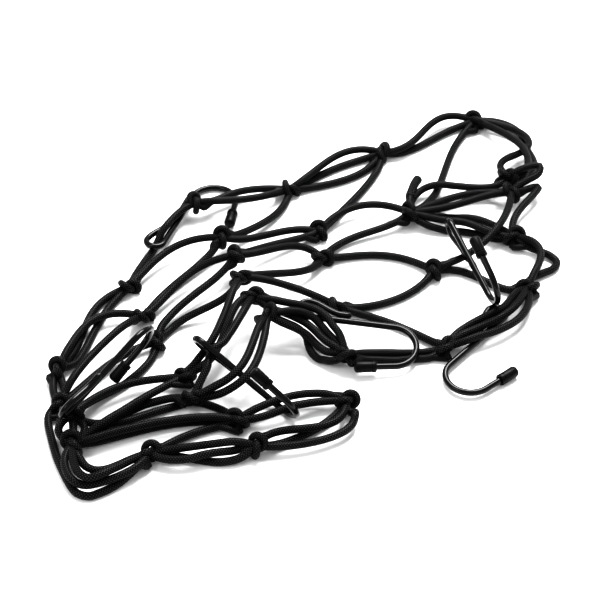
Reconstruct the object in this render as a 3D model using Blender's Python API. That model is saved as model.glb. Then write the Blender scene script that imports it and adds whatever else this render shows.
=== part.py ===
"""Cargo net: a knotted net of round elastic cord with six open wire hooks, lying crumpled on a flat surface.

The model is in metres with +Z up. The surface is z = 0 and the origin lies under the middle of the net's
bounding box. Tables are in millimetres and degrees. Headings turn left from +X, seen from above.
"""

import math
from collections import namedtuple

import bmesh
import bpy
import numpy as np
from mathutils import Matrix, Vector

MM = 0.001

# The cord and its knots.
CORD_DIAMETER = 5.0
CORD_SIDES_LEVEL = 1
POINT_SPACING = 15.0
PIECE_GAP = 0.3

# How crossing cords are moved apart: the turns it takes, the share of them that also smooth the lines, how
# strongly they smooth, how much more than the gap is kept, and how far around a piece others are looked for.
SPACING_TURNS = 200
SMOOTHING_SHARE = 0.8
SMOOTHING = 0.2
GAP_MARGIN = 0.05
LOOK_AROUND = 6.0
RENEW_EVERY = 10

# Pieces of one run this near along it may touch, and a number of pieces that counts as far from any knot.
NEXT_PIECES = 3
FAR_FROM_KNOT = 99

# The body of a knot, the shift between cords that start in one knot, and how curves are drawn.
KNOT_LENGTH = 13.0
KNOT_WIDTH = 12.0
KNOT_HEIGHT = 11.6
KNOT_SEGMENTS = 8
KNOT_RINGS = 5
CORE_STEP = 0.3
BEND_REACH = 0.3
FINE_STEPS = 24

# The hooks, all bent from the same wire to the same size.
WIRE_DIAMETER = 4.2
WIRE_SIDES_LEVEL = 2
HOOK_LENGTH = 81.0
HOOK_WIDTH = 30.0
HOOK_OPENING = 10.0
TIP_LEG = 40.0
EYE_RADIUS = 6.0
EYE_LENGTH = 36.0
EYE_NECK = 4.6
EYE_STEPS = 4
EYE_TURN_STEPS = 6
BEND_STEPS = 8
SLEEVE_LENGTH = 14.0
SLEEVE_DIAMETER = 7.4
SLEEVE_BORE = 4.8
SLEEVE_END = 2.4
SLEEVE_SIDES = 16

# Small values of the build.
WELD = 0.00001
SHARP_ANGLE = 50.0

# The middle of the net's bounding box on the ground plan.
NET_MIDDLE = (8.1, 6.4)

Place = namedtuple("Place", "x y height turn")
Run = namedtuple("Run", "places out back lift")
Hook = namedtuple("Hook", "x y height heading pitch roll")

# Knots: the middle of each, its height above the surface and the heading of its long axis.
KNOTS = {
    "01": Place(-71, 84, 11.8, 150),
    "02": Place(-7, 106, 5.2, 30),
    "03": Place(58, 146, 5.2, 30),
    "04": Place(125, 181, 6.0, 90),
    "05": Place(143, 114, 10.0, 20),
    "06": Place(144, 98, 9.0, 0),
    "07": Place(-52, 47, 13.0, 60),
    "08": Place(-42, 25, 17.0, 70),
    "09": Place(-38, -1, 21.0, 60),
    "10": Place(-30, -21, 23.0, 50),
    "11": Place(-20, -38, 23.0, 20),
    "12": Place(13, 62, 5.2, 80),
    "13": Place(15, 35, 5.2, 45),
    "14": Place(24, -12, 5.2, 20),
    "15": Place(74, 77, 9.0, 60),
    "16": Place(88, 23, 5.2, 60),
    "17": Place(92, -49, 5.2, 110),
    "18": Place(143, 55, 6.5, 80),
    "19": Place(148, 6, 5.2, 130),
    "20": Place(28, -60, 9.0, 100),
    "21": Place(-111, 7, 5.2, 50),
    "22": Place(-100, -21, 5.2, 60),
    "23": Place(-90, -44, 5.2, 60),
    "24": Place(-151, -70, 6.5, 60),
    "25": Place(-147, -100, 5.2, 90),
    "26": Place(-138, -115, 12.0, 40),
    "27": Place(-136, -135, 8.0, 80),
    "28": Place(-71, -78, 8.0, 100),
    "29": Place(-65, -99, 11.0, 60),
    "30": Place(-90, -141, 6.5, 80),
    "31": Place(-38, -113, 6.0, 90),
    "32": Place(-26, -136, 8.0, 45),
    "33": Place(29, -98, 7.0, 70),
}

# Turns of the cord away from a knot: the place, the height and the heading with which the cord passes it.
BENDS = {
    "a": Place(158, 165, 3.0, -90),
    "b": Place(161, 152, 8.0, -100),
    "c": Place(156, 121, 12.0, -110),
    "d": Place(166, 116, 14.0, 130),
    "e": Place(163, 104, 10.0, -115),
    "f": Place(170, 34, 4.0, -80),
    "g": Place(-92, 51, 4.0, -120),
    "h": Place(15, -38, 17.0, -55),
    "j": Place(11, -39, 14.0, -60),
    "k": Place(127, -22, 8.5, -150),
    "m": Place(-152, -116, 3.0, -75),
    "n": Place(-124, -171, 3.0, 15),
    "p": Place(33, -108, 8.0, 95),
    "q": Place(106, 65, 3.0, 0),
    "r": Place(106, 68, 8.0, 0),
    "s": Place(107, 80, 3.0, 10),
    "t": Place(-142, -148, 3.0, -65),
    "u": Place(-126, -166, 7.0, 10),
    "v": Place(6, -40, 10.0, -70),
    "w": Place(81, 112, 9.0, 65),
    "x": Place(14, -57, 5.0, -20),
    "y": Place(6, -36, 16.0, -45),
    "z": Place(10, -48, 9.0, -65),
}

# Cord runs: the knots and bends that each passes, how far it swings to the left of the straight line as it
# leaves the first and as it comes back to the last, and how far it lies above the line between them.
RUNS = (
    Run("01 02", -6, -10, 2.0),
    Run("01 02", 0, 16, -3.5),
    Run("02 03", 0, 26, 2.5),
    Run("02 03", 6, 8, -2.5),
    Run("02 03", -6, -18, -2.5),
    Run("03 04", -20, 36, 2.0),
    Run("03 04", -12, 9, -3.0),
    Run("04 a 05", 14, 32, -1.0),
    Run("04 b 05", 8, -24, 0.0),
    Run("04 c 05", 10, 8, 0.0),
    Run("06 d 05", 2, 4, 0.0),
    Run("06 e 18", 0, -12, 0.0),
    Run("15 06", -10, 2, 2.0),
    Run("15 06", 4, 20, -3.0),
    Run("15 05", 50, -16, -4.5),
    Run("04 15", -13, 16, -5.0),
    Run("15 w", 2, 0, 0.0),
    Run("03 12", 9, 2, -3.0),
    Run("12 15", 20, 22, 0.5),
    Run("02 07", 14, 6, -4.0),
    Run("07 12", -10, 12, -0.5),
    Run("08 12", 5, 1, -2.5),
    Run("08 13", -6, 22, 2.5),
    Run("09 13", 4, -16, -1.5),
    Run("09 14", 6, 4, 1.5),
    Run("13 15", 16, -4, -2.5),
    Run("13 16", 12, 20, -2.5),
    Run("14 16", -12, -14, -2.5),
    Run("14 17", 8, 6, -2.5),
    Run("15 q 18", -6, -4, -1.0),
    Run("15 r 18", -2, -8, 0.0),
    Run("15 s 18", 12, 6, -1.0),
    Run("06 16", 20, 19, 6.5),
    Run("18 19", 27, 8, 1.5),
    Run("18 f 19", -4, -12, 0.0),
    Run("16 19", 20, -12, -2.5),
    Run("19 k 17", -6, -6, 0.0),
    Run("19 17", 15, 5, 4.0),
    Run("19 17", 29, 13, 2.0),
    Run("17 20", 12, -2, -4.5),
    Run("17 20", 6, -8, -4.5),
    Run("10 h 20", -4, 2, 0.0),
    Run("11 j 20", 6, 2, 0.0),
    Run("10 y 20", -3, 0, 0.0),
    Run("11 z 20", -2, -2, 0.0),
    Run("11 v x 20", 0, -6, 0.0),
    Run("01 g 21", -6, -2, 0.0),
    Run("21 07", 10, 22, 0.0),
    Run("21 24", -26, 10, -3.0),
    Run("21 24", -12, 6, -3.0),
    Run("22 24", -34, -8, 1.5),
    Run("22 07", 10, -2, -5.5),
    Run("22 08", 4, 20, -1.5),
    Run("22 25", -4, -6, 7.0),
    Run("23 08", 15, -2, -3.5),
    Run("23 09", 20, -8, -5.5),
    Run("23 25", -12, -2, 0.0),
    Run("23 26", 13, -14, -5.5),
    Run("24 25", -6, -3, -2.5),
    Run("24 25", 3, 6, -2.5),
    Run("25 m t n 30", -6, -4, 0.0),
    Run("26 28", 17, 14, -2.0),
    Run("26 27", -11, -11, 0.5),
    Run("26 27", 1, 1, 0.0),
    Run("26 27", 11, 11, -1.0),
    Run("28 27", -3, 1, 0.0),
    Run("29 27", -26, -4, -4.5),
    Run("26 31", -18, 42, -6.0),
    Run("27 31", 5, 11, 1.5),
    Run("27 31", 6, 15, -4.0),
    Run("09 28", 3, 15, 7.5),
    Run("10 28", -11, 19, 7.5),
    Run("10 29", 6, 5, 6.0),
    Run("11 29", 3, 29, 3.5),
    Run("11 29", 11, 31, 0.0),
    Run("27 30", -38, -8, 0.5),
    Run("27 30", -60, -12, 0.5),
    Run("27 u 30", -12, -10, 0.5),
    Run("30 31", 7, 7, -3.0),
    Run("30 32", 0, 1, 0.5),
    Run("30 32", 6, -18, -4.0),
    Run("30 32", -18, 6, -0.5),
    Run("31 33", 10, 16, 1.5),
    Run("31 33", -8, 10, -0.5),
    Run("32 33", 14, -30, 0.5),
    Run("32 33", -7, -7, -4.5),
    Run("32 p 33", -10, 4, -2.0),
)

# Hooks: the far end of each eye on the line of the shank, then the shank's heading, its rise towards the bend
# and the turn of the hook's plane about the shank. At 0 the tip leg lies level on the left of the shank.
HOOKS = {
    "a": Hook(-93, 40, 8.0, 72, -4, 180),
    "b": Hook(-143.4, -123.2, 16.6, 44, 24, 293),
    "c": Hook(-65, -68, 34.0, -30, -28, 116),
    "d": Hook(-3.5, -31, 16.0, -6, -4, 190),
    "e": Hook(136, -15, 4.0, -131, 0, 0),
    "f": Hook(97, 56, 24.4, -67, -15, 100),
}


def place_at(name):
    """The Place of a knot or bend."""
    return KNOTS.get(name) or BENDS[name]


def heading(angle):
    """Unit vector on the ground plan for a heading in degrees."""
    return np.array([math.cos(math.radians(angle)), math.sin(math.radians(angle))])


def handle(place, chord, side, swing, is_bend):
    """Plan offset of a curve handle from its end: along the chord with a swing, or along a bend's heading."""
    length = np.hypot(*chord)
    if is_bend:
        return side * BEND_REACH * length * heading(place.turn)
    left = np.array([-chord[1], chord[0]]) / length
    return side * chord / 3 + swing * left


def section(first, last, out, back, lift):
    """Points in mm of one smooth section of a run between two places."""
    start, end = place_at(first), place_at(last)
    p0, p3 = np.array([start.x, start.y], float), np.array([end.x, end.y], float)
    chord = p3 - p0
    p1 = p0 + handle(start, chord, 1, out, first in BENDS)
    p2 = p3 + handle(end, chord, -1, back, last in BENDS)
    t = np.linspace(0, 1, FINE_STEPS + 1)[:, None]
    plan = (1 - t) ** 3 * p0 + 3 * (1 - t) ** 2 * t * p1 + 3 * (1 - t) * t**2 * p2 + t**3 * p3
    rise = (end.height - start.height) * t + lift * (1 - (2 * t - 1) ** 4)
    return np.hstack([plan, start.height + rise])


def owner_halves(run):
    """The knots that a run leaves and reaches; a run that ends free belongs to its first knot alone."""
    names = run.places.split()
    return names[0], names[-1] if names[-1] in KNOTS else None


def run_line(run):
    """Evenly spaced points in mm along a run, with a point at each of its places."""
    names = run.places.split()
    points = []
    for first, last in zip(names, names[1:]):
        fine = section(first, last, run.out, run.back, run.lift)
        travelled = np.concatenate([[0], np.cumsum(np.linalg.norm(np.diff(fine, axis=0), axis=1))])
        steps = max(4 - len(names) + 1, 2, round(travelled[-1] / POINT_SPACING))
        wanted = np.linspace(0, travelled[-1], steps + 1)
        even = np.stack([np.interp(wanted, travelled, fine[:, i]) for i in range(3)], axis=1)
        points.append(even if not points else even[1:])
    return np.vstack(points)


def middle_of(points):
    """Index of the straight piece nearest to the middle of a line, the first and last left out."""
    travelled = np.concatenate([[0], np.cumsum(np.linalg.norm(np.diff(points, axis=0), axis=1))])
    centres = (travelled[1:-2] + travelled[2:-1]) / 2
    return int(np.argmin(np.abs(centres - travelled[-1] / 2))) + 1


def nearest(p0, p1, q0, q1):
    """Shares along two arrays of straight pieces at which each pair comes nearest."""
    u, v, w = p1 - p0, q1 - q0, p0 - q0
    a, b, c = (u * u).sum(1), (u * v).sum(1), (v * v).sum(1)
    d, e = (u * w).sum(1), (v * w).sum(1)
    c = np.maximum(c, 1e-9)
    a = np.maximum(a, 1e-9)
    s = np.clip((b * e - c * d) / np.maximum(a * c - b * b, 1e-9), 0, 1)
    t = np.clip((b * s + e) / c, 0, 1)
    return np.clip((b * t - d) / a, 0, 1), t


class Layout:
    """All lines of the net in one array, so that they can be spaced where they cross."""

    def __init__(self, runs):
        lines = [run_line(run) for run in runs]
        self.starts = np.cumsum([0] + [len(line) for line in lines])
        self.points = np.vstack(lines)
        self.loose = np.ones(len(self.points))
        self.inner = np.zeros(len(self.points), bool)
        self.pieces = []
        for i, (run, line) in enumerate(zip(runs, lines)):
            first, last = owner_halves(run)
            start, count, middle = self.starts[i], len(line), middle_of(line)
            self.loose[start] = 0
            self.inner[start + 1:start + count - 1] = True
            if last:
                self.loose[start + count - 1] = 0
            for k in range(count - 1):
                owner = first if last is None or k < middle else last
                from_knot = k if owner == first else count - 2 - k
                if last and k == middle:
                    owner = "run %d" % i
                self.pieces.append((start + k, i, k, owner, from_knot, CORD_DIAMETER / 2))
        self.home = self.points.copy()

    def add_fixed(self, points, radius, owner, run):
        """Add a line that stays where it is."""
        start = len(self.points)
        self.points = np.vstack([self.points, points])
        self.home = self.points.copy()
        self.loose = np.concatenate([self.loose, np.zeros(len(points))])
        self.inner = np.concatenate([self.inner, np.zeros(len(points), bool)])
        for k in range(max(1, len(points) - 1)):
            self.pieces.append((start + k, run, k, owner, FAR_FROM_KNOT, radius))

    def pairs(self):
        """Pairs of pieces that have to stay clear of each other and lie near enough to matter."""
        head = np.array([piece[0] for piece in self.pieces])
        tail = np.minimum(head + 1, len(self.points) - 1)
        lone = np.array([piece[5] > CORD_DIAMETER for piece in self.pieces])
        tail = np.where(lone, head, tail)
        run = np.array([piece[1] for piece in self.pieces])
        step = np.array([piece[2] for piece in self.pieces])
        owner = np.array([piece[3] for piece in self.pieces])
        from_knot = np.array([piece[4] for piece in self.pieces])
        radius = np.array([piece[5] for piece in self.pieces])
        middle = (self.points[head] + self.points[tail]) / 2
        reach = np.linalg.norm(self.points[tail] - self.points[head], axis=1) / 2
        a, b = np.triu_indices(len(head), 1)
        wanted = radius[a] + radius[b] + PIECE_GAP + GAP_MARGIN
        near = np.linalg.norm(middle[a] - middle[b], axis=1) < reach[a] + reach[b] + wanted + LOOK_AROUND
        a, b = a[near], b[near]
        same_run = (run[a] == run[b]) & (np.abs(step[a] - step[b]) < NEXT_PIECES)
        by_knot = (owner[a] == owner[b]) & (np.minimum(from_knot[a], from_knot[b]) < 1)
        fixed = (self.loose[head[a]] + self.loose[tail[a]] + self.loose[head[b]] + self.loose[tail[b]]) == 0
        keep = ~(same_run | by_knot | fixed)
        a, b = a[keep], b[keep]
        wanted = radius[a] + radius[b] + PIECE_GAP + GAP_MARGIN
        return head[a], tail[a], head[b], tail[b], wanted

    def space(self):
        """Move the cords apart where they cross, and keep them above the surface."""
        floor = CORD_DIAMETER / 2 + GAP_MARGIN
        for turn in range(SPACING_TURNS):
            if turn % RENEW_EVERY == 0:
                p0, p1, q0, q1, wanted = self.pairs()
            x = self.points
            s, t = nearest(x[p0], x[p1], x[q0], x[q1])
            apart = x[p0] + s[:, None] * (x[p1] - x[p0]) - x[q0] - t[:, None] * (x[q1] - x[q0])
            distance = np.maximum(np.linalg.norm(apart, axis=1), 1e-6)
            close = distance < wanted
            shares = np.stack([1 - s, s, -(1 - t), -t])[:, close]
            places = np.stack([p0, p1, q0, q1])[:, close]
            loose = self.loose[places]
            weight = np.maximum((loose * shares**2).sum(0), 1e-6)
            push = ((wanted - distance) / distance)[close][:, None] * apart[close] / weight[:, None]
            move, count = np.zeros_like(x), np.zeros(len(x))
            for share, place, free in zip(shares, places, loose):
                np.add.at(move, place, (share * free)[:, None] * push)
                np.add.at(count, place, (free > 0) * 1.0)
            x = x + move / np.maximum(count, 1)[:, None]
            if turn < SPACING_TURNS * SMOOTHING_SHARE:
                shift = x - self.home
                mean = (np.roll(shift, 1, 0) + np.roll(shift, -1, 0)) / 2
                x = x + SMOOTHING * self.inner[:, None] * (mean - shift)
            loose_ones = self.loose > 0
            x[loose_ones, 2] = np.maximum(x[loose_ones, 2], floor)
            self.points = x

    def line(self, index):
        """The points of one run."""
        return self.points[self.starts[index]:self.starts[index + 1]]


def hook_line():
    """Points in mm of a hook's wire in its own plane, from the eye's free end to the tip."""
    wire = WIRE_DIAMETER / 2
    eye = EYE_RADIUS + wire
    points = []
    for i in range(EYE_STEPS):
        u = EYE_LENGTH + (eye - EYE_LENGTH) * i / EYE_STEPS
        closing = min(1.0, (u - eye) / (EYE_LENGTH - EYE_RADIUS - eye))
        drawn_in = (2 * EYE_RADIUS - EYE_NECK) * (1 - math.cos(math.pi * closing)) / 2
        points.append((u, drawn_in - 2 * EYE_RADIUS))
    for i in range(EYE_TURN_STEPS + 1):
        angle = math.pi * i / EYE_TURN_STEPS
        points.append((eye - EYE_RADIUS * math.sin(angle), -EYE_RADIUS * (1 + math.cos(angle))))
    bend = HOOK_WIDTH / 2
    shank = HOOK_LENGTH - wire - bend
    points += [(eye + (shank - eye) * i / 2, 0.0) for i in (1, 2)]
    turn = math.radians(180 - HOOK_OPENING)
    for i in range(1, BEND_STEPS + 1):
        angle = turn * i / BEND_STEPS
        points.append((shank + bend * math.sin(angle), bend * (1 - math.cos(angle))))
    leg = TIP_LEG - bend - wire
    last = points[-1]
    points.append((last[0] + leg * math.cos(turn), last[1] + leg * math.sin(turn)))
    return np.array(points)


def hook_axes(hook):
    """The shank's direction and the direction across to the tip leg, as unit vectors."""
    rise, roll = math.radians(hook.pitch), math.radians(hook.roll)
    plan = heading(hook.heading)
    shank = np.array([plan[0] * math.cos(rise), plan[1] * math.cos(rise), math.sin(rise)])
    level = np.array([-plan[1], plan[0], 0.0])
    across = math.cos(roll) * level + math.sin(roll) * np.cross(shank, level)
    return shank, across


def hook_points(hook):
    """Points in mm of a placed hook's wire."""
    shank, across = hook_axes(hook)
    line = hook_line()
    return np.array([hook.x, hook.y, hook.height]) + line[:, :1] * shank + line[:, 1:] * across


def sleeve_ends(hook):
    """The two ends in mm of the sleeve's middle line: its mouth and its closed end."""
    points = hook_points(hook)
    way = (points[-1] - points[-2]) / np.linalg.norm(points[-1] - points[-2])
    closed = points[-1] + way * (SLEEVE_END + PIECE_GAP)
    return closed - way * SLEEVE_LENGTH, closed


def laid_lines():
    """The points of every run, spaced where cords cross each other, the knots and the hooks."""
    layout = Layout(RUNS)
    for name, place in KNOTS.items():
        layout.add_fixed(np.array([[place.x, place.y, place.height]]), KNOT_LENGTH / 2, name, "knot " + name)
    for name, hook in HOOKS.items():
        layout.add_fixed(hook_points(hook), WIRE_DIAMETER / 2, "hook " + name, "hook " + name)
        layout.add_fixed(np.array(sleeve_ends(hook)), SLEEVE_DIAMETER / 2, "hook " + name, "sleeve " + name)
    layout.space()
    return [layout.line(i) for i in range(len(RUNS))]


def to_model(points):
    """Points in mm on the ground plan as model points in metres."""
    return (np.asarray(points, float) - [NET_MIDDLE[0], NET_MIDDLE[1], 0]) * MM


def material(name, color, roughness, metallic):
    """A plain finish for one kind of piece."""
    made = bpy.data.materials.new(name)
    made.use_nodes = True
    shader = made.node_tree.nodes["Principled BSDF"]
    shader.inputs["Base Color"].default_value = (*color, 1)
    shader.inputs["Roughness"].default_value = roughness
    shader.inputs["Metallic"].default_value = metallic
    return made


def add_object(name, mesh, collection):
    """Link a mesh to a collection as a new object."""
    made = bpy.data.objects.new(name, mesh)
    collection.objects.link(made)
    return made


def tube(name, points, diameter, sides_level, collection):
    """A round rod along points in mm: a bevelled curve made a mesh with its caps welded on."""
    curve = bpy.data.curves.new(name, "CURVE")
    curve.dimensions = "3D"
    curve.bevel_depth = diameter / 2 * MM
    curve.bevel_resolution = sides_level
    curve.use_fill_caps = True
    spline = curve.splines.new("POLY")
    spline.points.add(len(points) - 1)
    for point, place in zip(spline.points, to_model(points)):
        point.co = (*place, 1)
    drawn = add_object(name + "_line", curve, collection)
    bpy.context.view_layer.update()
    mesh = bpy.data.meshes.new_from_object(drawn.evaluated_get(bpy.context.evaluated_depsgraph_get()))
    turned = drawn.matrix_world.copy()
    bpy.data.objects.remove(drawn)
    shape = bmesh.new()
    shape.from_mesh(mesh)
    bmesh.ops.remove_doubles(shape, verts=shape.verts, dist=WELD)
    bmesh.ops.recalc_face_normals(shape, faces=shape.faces)
    shape.to_mesh(mesh)
    shape.free()
    made = add_object(name, mesh, collection)
    made.matrix_world = turned
    return made


def knot_lump(name, place, collection):
    """The body of a knot: a rounded lump, cut flat where it lies on the surface."""
    shape = bmesh.new()
    bmesh.ops.create_uvsphere(shape, u_segments=KNOT_SEGMENTS, v_segments=KNOT_RINGS, radius=0.5)
    size = Matrix.Diagonal((KNOT_LENGTH * MM, KNOT_WIDTH * MM, KNOT_HEIGHT * MM, 1))
    turn = Matrix.Rotation(math.radians(place.turn), 4, "Z")
    middle = Vector(to_model([place.x, place.y, place.height]))
    bmesh.ops.transform(shape, matrix=Matrix.Translation(middle) @ turn @ size, verts=shape.verts)
    if place.height < KNOT_HEIGHT / 2:
        everything = shape.verts[:] + shape.edges[:] + shape.faces[:]
        cut = bmesh.ops.bisect_plane(
            shape, geom=everything, plane_co=(0, 0, 0), plane_no=(0, 0, -1), clear_outer=True
        )
        edges = [item for item in cut["geom_cut"] if isinstance(item, bmesh.types.BMEdge)]
        bmesh.ops.holes_fill(shape, edges=edges)
    mesh = bpy.data.meshes.new(name)
    shape.to_mesh(mesh)
    shape.free()
    return add_object(name, mesh, collection)


def applied(target):
    """Replace an object's mesh with its evaluated one and clear its modifiers."""
    bpy.context.view_layer.update()
    mesh = bpy.data.meshes.new_from_object(target.evaluated_get(bpy.context.evaluated_depsgraph_get()))
    target.modifiers.clear()
    target.data = mesh


def combine(target, other, operation):
    """Join another solid to an object, or cut it away, and remove that solid."""
    step = target.modifiers.new(other.name, "BOOLEAN")
    step.operation = operation
    step.solver = "EXACT"
    step.object = other
    applied(target)
    bpy.data.objects.remove(other)


def finish(target, look):
    """Give a piece its finish, its own name on the mesh and smooth round sides."""
    target.data.name = target.name
    target.data.materials.clear()
    target.data.materials.append(look)
    target.data.shade_smooth()
    target.data.set_sharp_from_angle(angle=math.radians(SHARP_ANGLE))


def tidy(target):
    """Join points and drop faces that a union left too close together."""
    shape = bmesh.new()
    shape.from_mesh(target.data)
    bmesh.ops.remove_doubles(shape, verts=shape.verts, dist=WELD)
    bmesh.ops.dissolve_degenerate(shape, edges=shape.edges, dist=WELD)
    bmesh.ops.triangulate(shape, faces=shape.faces)
    shape.to_mesh(target.data)
    shape.free()


def half_runs(lines):
    """For each knot, the stretches of cord that belong to it, from its middle outwards."""
    halves = {name: [] for name in KNOTS}
    for run, line in zip(RUNS, lines):
        first, last = owner_halves(run)
        if last is None:
            halves[first].append(line.copy())
            continue
        piece = middle_of(line)
        centre = (line[piece] + line[piece + 1])[None] / 2
        halves[first].append(shortened(np.vstack([line[:piece + 1], centre])))
        halves[last].append(shortened(np.vstack([line[:piece:-1], centre])))
    return halves


def shortened(points):
    """A line with half of the gap between pieces taken off its far end."""
    way = (points[-2] - points[-1]) / np.linalg.norm(points[-2] - points[-1])
    return np.vstack([points[:-1], points[-1] + way * PIECE_GAP / 2])


def build_knots(lines, look, collection):
    """One solid for each knot with the cords that leave it, to the middle of each run."""
    for name, halves in half_runs(lines).items():
        knot = knot_lump("knot_" + name, KNOTS[name], collection)
        cords = bpy.data.collections.new("cords_" + name)
        bpy.context.scene.collection.children.link(cords)
        for number, half in enumerate(halves, 1):
            half[0] += (half[1] - half[0]) / np.linalg.norm(half[1] - half[0]) * CORE_STEP * number
            tube("cord_%s_%d" % (name, number), half, CORD_DIAMETER, CORD_SIDES_LEVEL, cords)
        step = knot.modifiers.new("cords", "BOOLEAN")
        step.operation = "UNION"
        step.solver = "EXACT"
        step.operand_type = "COLLECTION"
        step.collection = cords
        applied(knot)
        for cord in list(cords.objects):
            bpy.data.objects.remove(cord)
        bpy.data.collections.remove(cords)
        tidy(knot)
        finish(knot, look)


def build_hooks(wire_look, sleeve_look, collection):
    """The wire of each hook and the sleeve on its tip."""
    for name, hook in HOOKS.items():
        wire = tube("hook_" + name, hook_points(hook), WIRE_DIAMETER, WIRE_SIDES_LEVEL, collection)
        finish(wire, wire_look)
        mouth, closed = sleeve_ends(hook)
        sleeve = sleeve_body("sleeve_" + name, mouth, closed, collection)
        finish(sleeve, sleeve_look)


def rod(name, start, end, diameter, collection):
    """A plain round rod between two points in mm."""
    shape = bmesh.new()
    way = Vector(end - start)
    bmesh.ops.create_cone(
        shape, cap_ends=True, segments=SLEEVE_SIDES, radius1=diameter / 2 * MM, radius2=diameter / 2 * MM,
        depth=way.length * MM,
    )
    turn = way.to_track_quat("Z", "Y").to_matrix().to_4x4()
    middle = Matrix.Translation(Vector(to_model((start + end) / 2)))
    bmesh.ops.transform(shape, matrix=middle @ turn, verts=shape.verts)
    mesh = bpy.data.meshes.new(name)
    shape.to_mesh(mesh)
    shape.free()
    return add_object(name, mesh, collection)


def sleeve_body(name, mouth, closed, collection):
    """A sleeve with a blind bore for the wire's tip."""
    way = (closed - mouth) / np.linalg.norm(closed - mouth)
    body = rod(name, mouth, closed, SLEEVE_DIAMETER, collection)
    bore = rod(name + "_bore", mouth - way, closed - way * SLEEVE_END, SLEEVE_BORE, collection)
    combine(body, bore, "DIFFERENCE")
    return body


def clear_scene():
    """Remove the objects of the open file."""
    for old in list(bpy.data.objects):
        bpy.data.objects.remove(old)


def main():
    """Build the net."""
    clear_scene()
    net = bpy.data.collections.new("cargo_net")
    bpy.context.scene.collection.children.link(net)
    cord_look = material("black elastic cord", (0.022, 0.022, 0.024), 0.6, 0.0)
    wire_look = material("black coated wire", (0.012, 0.012, 0.013), 0.25, 0.0)
    sleeve_look = material("black rubber sleeve", (0.016, 0.016, 0.017), 0.45, 0.0)
    build_knots(laid_lines(), cord_look, net)
    build_hooks(wire_look, sleeve_look, net)


if __name__ == "__main__":
    main()
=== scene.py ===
"""The looks of a knotted elastic cargo net with six open wire hooks, lying crumpled on a pale floor.

Every cord is a braided tube on its own smooth line, every knot is an overhand knot pulled tight, and each
hook is one bent wire with a rubber sleeve on its tip. Tables are in mm and degrees, meshes in metres.
"""

import logging
import math
from dataclasses import dataclass, field
from enum import Enum, IntEnum
from typing import Callable, NamedTuple, Sequence

import bmesh
import bpy
import numpy as np
from bmesh.types import BMesh
from bpy.types import Material, Node, NodeSocket, NodeTree, Object
from mathutils import Matrix, Vector


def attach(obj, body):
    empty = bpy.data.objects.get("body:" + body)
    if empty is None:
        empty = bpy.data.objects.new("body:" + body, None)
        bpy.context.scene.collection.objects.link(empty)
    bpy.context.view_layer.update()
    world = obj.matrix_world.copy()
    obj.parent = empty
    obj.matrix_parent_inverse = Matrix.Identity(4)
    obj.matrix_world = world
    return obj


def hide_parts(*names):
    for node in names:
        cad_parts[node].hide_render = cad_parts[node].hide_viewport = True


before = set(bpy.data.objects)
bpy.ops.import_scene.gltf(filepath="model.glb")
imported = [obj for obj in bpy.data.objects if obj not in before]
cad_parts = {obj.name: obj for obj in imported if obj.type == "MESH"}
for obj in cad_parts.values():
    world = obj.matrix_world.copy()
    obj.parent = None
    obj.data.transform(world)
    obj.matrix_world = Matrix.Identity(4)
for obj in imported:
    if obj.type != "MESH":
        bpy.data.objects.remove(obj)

LOG = logging.getLogger("cargo_net")
MM = 0.001
UP = Vector((0.0, 0.0, 1.0))

# How far above the floor cord is kept, in mm.
FLOOR_GAP = 0.05

# Corners closer than this, in metres, are joined into one.
WELD = 1e-6

# Faces that meet at more than this angle, in degrees, keep a sharp edge.
SHARP_ANGLE = 50.0

Points = np.ndarray
Color = tuple[float, float, float]


class Place(NamedTuple):
    """A spot on the ground plan that cord passes, its height and the heading there."""

    x: float
    y: float
    height: float
    turn: float


class Run(NamedTuple):
    """A stretch of cord between knots: the places it passes, its swings to the left and its lift."""

    places: str
    out: float
    back: float
    lift: float


class HookPlace(NamedTuple):
    """Where a hook's eye ends, its shank's heading and rise, and the turn of its plane about the shank."""

    x: float
    y: float
    height: float
    heading: float
    pitch: float
    roll: float


# The middle of the net's bounding box on the ground plan of the tables.
NET_MIDDLE = (8.1, 6.4)

# Knots: the middle of each, its height above the surface and the heading of its long axis.
KNOTS: dict[str, Place] = {
    "01": Place(-71, 84, 11.8, 150),
    "02": Place(-7, 106, 5.2, 30),
    "03": Place(58, 146, 5.2, 30),
    "04": Place(125, 181, 6.0, 90),
    "05": Place(143, 114, 10.0, 20),
    "06": Place(144, 98, 9.0, 0),
    "07": Place(-52, 47, 13.0, 60),
    "08": Place(-42, 25, 17.0, 70),
    "09": Place(-38, -1, 21.0, 60),
    "10": Place(-30, -21, 23.0, 50),
    "11": Place(-20, -38, 23.0, 20),
    "12": Place(13, 62, 5.2, 80),
    "13": Place(15, 35, 5.2, 45),
    "14": Place(24, -12, 5.2, 20),
    "15": Place(74, 77, 9.0, 60),
    "16": Place(88, 23, 5.2, 60),
    "17": Place(92, -49, 5.2, 110),
    "18": Place(143, 55, 6.5, 80),
    "19": Place(148, 6, 5.2, 130),
    "20": Place(28, -60, 9.0, 100),
    "21": Place(-111, 7, 5.2, 50),
    "22": Place(-100, -21, 5.2, 60),
    "23": Place(-90, -44, 5.2, 60),
    "24": Place(-151, -70, 6.5, 60),
    "25": Place(-147, -100, 5.2, 90),
    "26": Place(-138, -115, 12.0, 40),
    "27": Place(-136, -135, 8.0, 80),
    "28": Place(-71, -78, 8.0, 100),
    "29": Place(-65, -99, 11.0, 60),
    "30": Place(-90, -141, 6.5, 80),
    "31": Place(-38, -113, 6.0, 90),
    "32": Place(-26, -136, 8.0, 45),
    "33": Place(29, -98, 7.0, 70),
}

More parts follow.
